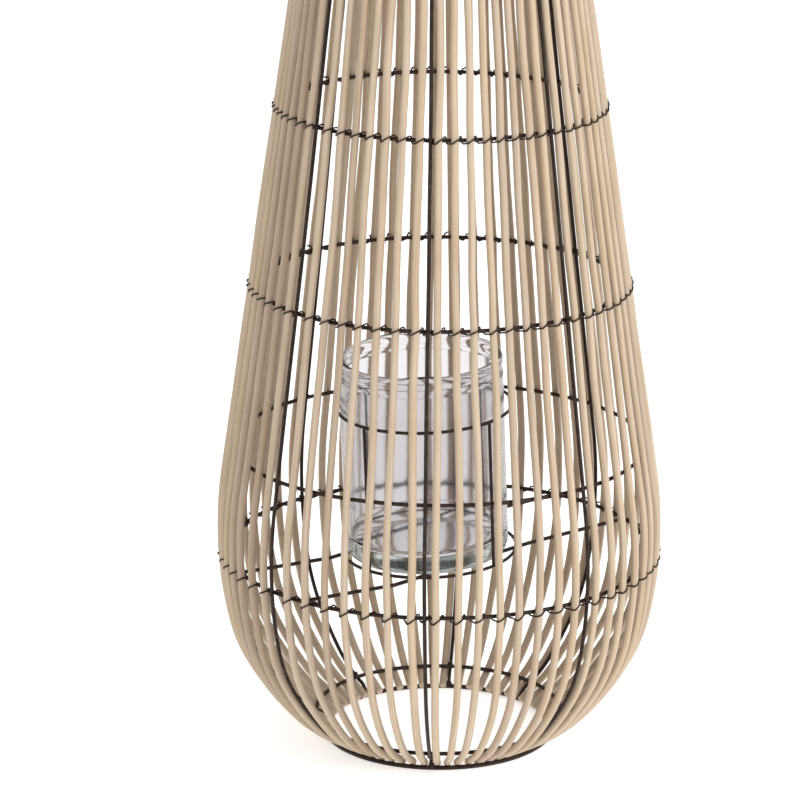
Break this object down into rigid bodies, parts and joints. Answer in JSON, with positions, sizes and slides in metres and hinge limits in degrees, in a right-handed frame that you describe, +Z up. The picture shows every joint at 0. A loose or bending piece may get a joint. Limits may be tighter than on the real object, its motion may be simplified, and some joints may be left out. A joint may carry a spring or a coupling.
{
  "type": "candle floor lantern",
  "caption": "Tall teardrop floor lantern: peeled cane rods bound to a black wire cage, with a lift-out glass candle cylinder in a wire basket and a folding bail.",
  "frame": {"origin": "centre of the base ring's underside, on the floor", "axes": "+Z up the lantern; -Y is the front; the handle's hinge line is along X"},
  "size_m": [0.3416, 0.3416, 0.71],
  "materials": {
    "black_wire": "satin black paint, worn at the welds",
    "binding_wire": "satin black annealed wire",
    "cane": "peeled natural cane, unvarnished",
    "clear_glass": "clear pressed glass, faintly green at its edges"
  },
  "bodies": {
    "cage": {"base_ring": "black_wire", "foot_hoop": "black_wire", "bulge_hoop": "black_wire", "glass_hoop": "black_wire", "waist_hoop": "black_wire", "upper_hoop": "black_wire", "neck_hoop": "black_wire", "mouth_hoop": "black_wire", "top_ring": "black_wire", "rib_1": "black_wire", "rib_2": "black_wire", "rib_3": "black_wire", "rib_4": "black_wire", "rib_5": "black_wire", "rib_6": "black_wire", "rib_7": "black_wire", "rib_8": "black_wire", "cane_panel_1": "cane", "cane_panel_2": "cane", "cane_panel_3": "cane", "cane_panel_4": "cane", "cane_panel_5": "cane", "cane_panel_6": "cane", "cane_panel_7": "cane", "cane_panel_8": "cane", "bulge_binding": "binding_wire", "waist_binding": "binding_wire", "upper_binding": "binding_wire", "neck_binding": "binding_wire", "support_bar_front": "black_wire", "support_bar_back": "black_wire", "basket_lower_ring": "black_wire", "basket_upper_ring": "black_wire", "basket_upright_1": "black_wire", "basket_upright_2": "black_wire", "basket_upright_3": "black_wire", "basket_upright_4": "black_wire", "handle_lug_left": "black_wire", "handle_lug_right": "black_wire"},
    "glass": {"glass_cylinder": "clear_glass"},
    "handle": {"handle_bail": "black_wire"}
  },
  "joints": [
    {"name": "glass_lift", "type": "slide", "parent": "cage", "child": "glass", "axis": [0, 0, 1], "range_m": [0, 0.6]},
    {"name": "handle_hinge", "type": "hinge", "parent": "cage", "child": "handle", "pos_m": [0, 0, 0.704], "axis": [1, 0, 0], "range_deg": [0, 180]}
  ]
}
